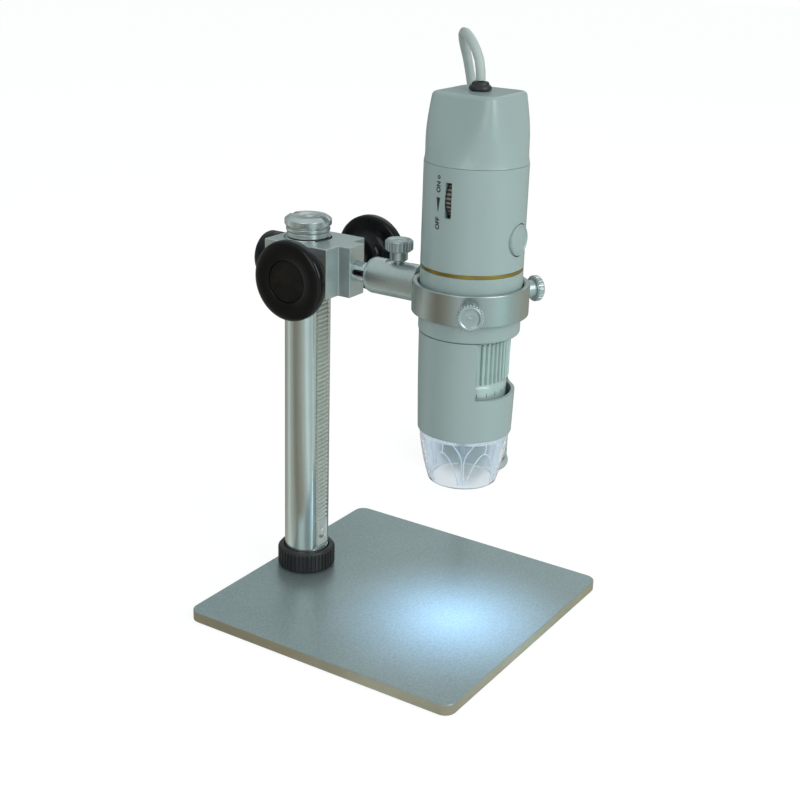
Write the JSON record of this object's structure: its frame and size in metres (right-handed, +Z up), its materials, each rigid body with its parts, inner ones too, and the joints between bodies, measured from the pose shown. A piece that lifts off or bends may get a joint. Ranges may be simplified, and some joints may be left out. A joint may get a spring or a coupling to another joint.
{
  "type": "handheld microscope with rack stand",
  "caption": "Hand-held digital microscope with focus drum and clear nose, in a ring clamp on a rack-and-pinion stand with a square metal base, and a coiled cable with a plug.",
  "frame": {"origin": "middle of the base plate's underside, on the surface the stand rests on", "axes": "+Z up along the column, +X from the column along the arm to the microscope and its snapshot button, +Y to the side away from the brightness wheel, where the cable lies"},
  "size_m": [0.1191, 0.205, 0.2014],
  "materials": {
    "satin_plate": "satin nickel-plated steel",
    "column_steel": "turned satin steel",
    "aluminium": "satin anodised",
    "chrome": "polished",
    "screw_steel": "plain steel",
    "brass": "turned",
    "black_gloss": "glossy black",
    "black_satin": "satin black",
    "housing_paint": "satin grey-green paint on aluminium",
    "gold_line": "gold-coloured",
    "drum_grey": "grey",
    "clear_plastic": "plain",
    "lens_glass": "plain",
    "board_green": "plain",
    "cable_grey": "plain",
    "tongue_white": "plain"
  },
  "bodies": {
    "arm": {"arm_rod": "chrome"},
    "carriage": {"arm_set_screw": "screw_steel", "carriage_block": "aluminium", "lock_pad": "brass", "shaft_bush_front": "brass", "shaft_bush_rear": "brass"},
    "root": {"base_plate": "satin_plate", "base_screw": "screw_steel", "cable": "cable_grey", "cable_coil": "cable_grey", "cable_tie": "black_satin", "column": "column_steel", "column_cap": "aluminium", "rack": "column_steel", "rack_screw_lower": "screw_steel", "rack_screw_upper": "screw_steel", "usb_plug": "black_satin", "usb_plug_shell": "chrome", "usb_plug_tongue": "tongue_white"},
    "scope": {"brightness_pot": "black_satin", "button_switch": "black_satin", "cable_gland": "black_satin", "gold_band": "gold_line", "guide_pin_front": "screw_steel", "guide_pin_rear": "screw_steel", "led_board": "board_green", "lower_sleeve": "housing_paint", "main_board": "board_green", "main_housing": "housing_paint", "nose_cap": "clear_plastic", "sensor_board": "board_green", "top_cap": "housing_paint"},
    "wheel": {"brightness_wheel": "black_satin"},
    "clamp": {"clamp_ring": "aluminium", "clamp_socket": "aluminium"},
    "collar": {"column_collar": "black_satin"},
    "focus": {"focus_drum": "drum_grey"},
    "pinion": {"knob_cap_front": "black_satin", "knob_cap_rear": "black_satin", "pinion_knob_front": "black_gloss", "pinion_knob_rear": "black_gloss", "pinion_shaft": "screw_steel"},
    "lens": {"lens_barrel": "black_satin", "objective_lens": "lens_glass"},
    "lock": {"lock_knob": "black_gloss", "lock_screw": "screw_steel"},
    "ring_screw_front": {"ring_thumb_screw_front": "aluminium"},
    "ring_screw_rear": {"ring_thumb_screw_rear": "aluminium"},
    "button": {"snap_button": "housing_paint"},
    "socket_screw": {"socket_thumb_screw": "aluminium"}
  },
  "joints": [
    {"name": "collar_turn", "type": "hinge", "parent": "root", "child": "collar", "pos_m": [-0.0414, 0, 0.0043], "axis": [0, 0, 1], "continuous": true},
    {"name": "carriage_slide", "type": "slide", "parent": "root", "child": "carriage", "axis": [0, 0, 1], "range_m": [-0.042, 0], "deforming": ["cable"]},
    {"name": "pinion_turn", "type": "hinge", "parent": "carriage", "child": "pinion", "pos_m": [-0.03107, 0, 0.1197], "axis": [0, 1, 0], "range_deg": [-2, 690]},
    {"name": "lock_turn", "type": "hinge", "parent": "carriage", "child": "lock", "pos_m": [-0.0515, 0, 0.1197], "axis": [1, 0, 0], "range_deg": [-180, 0]},
    {"name": "arm_tilt", "type": "hinge", "parent": "carriage", "child": "arm", "pos_m": [-0.02088, 0, 0.1197], "axis": [1, 0, 0], "range_deg": [-90, 90]},
    {"name": "clamp_slide", "type": "slide", "parent": "arm", "child": "clamp", "axis": [1, 0, 0], "range_m": [-0.003, 0.0015]},
    {"name": "socket_screw_turn", "type": "hinge", "parent": "clamp", "child": "socket_screw", "pos_m": [-0.00428, 0, 0.1197], "axis": [0, 0, 1], "range_deg": [0, 180]},
    {"name": "ring_screw_front_turn", "type": "hinge", "parent": "clamp", "child": "ring_screw_front", "pos_m": [0.02343, 0, 0.11905], "axis": [0.5, -0.866, 0], "range_deg": [0, 180]},
    {"name": "ring_screw_rear_turn", "type": "hinge", "parent": "clamp", "child": "ring_screw_rear", "pos_m": [0.02343, 0, 0.11905], "axis": [0.5, 0.866, 0], "range_deg": [0, 180]},
    {"name": "scope_slide", "type": "slide", "parent": "clamp", "child": "scope", "axis": [0, 0, 1], "range_m": [-0.006, 0.006]},
    {"name": "lens_slide", "type": "slide", "parent": "scope", "child": "lens", "axis": [0, 0, 1], "range_m": [-0.004, 0.004]},
    {"name": "focus_turn", "type": "hinge", "parent": "scope", "child": "focus", "pos_m": [0.02343, 0, 0.1078], "axis": [0, 0, 1], "range_deg": [-135, 135]},
    {"name": "wheel_turn", "type": "hinge", "parent": "scope", "child": "wheel", "pos_m": [0.02343, -0.0096, 0.1526], "axis": [1, 0, 0], "range_deg": [-150, 150]},
    {"name": "button_press", "type": "slide", "parent": "scope", "child": "button", "axis": [-1, 0, 0], "range_m": [0, 0.0008], "stiffness_N_per_m": 550, "springref_m": -0.0008}
  ],
  "couplings": [
    {"joint": "pinion_turn", "follows": "carriage_slide", "rad_per_m": -285.71},
    {"joint": "focus_turn", "follows": "lens_slide", "rad_per_m": 588}
  ]
}
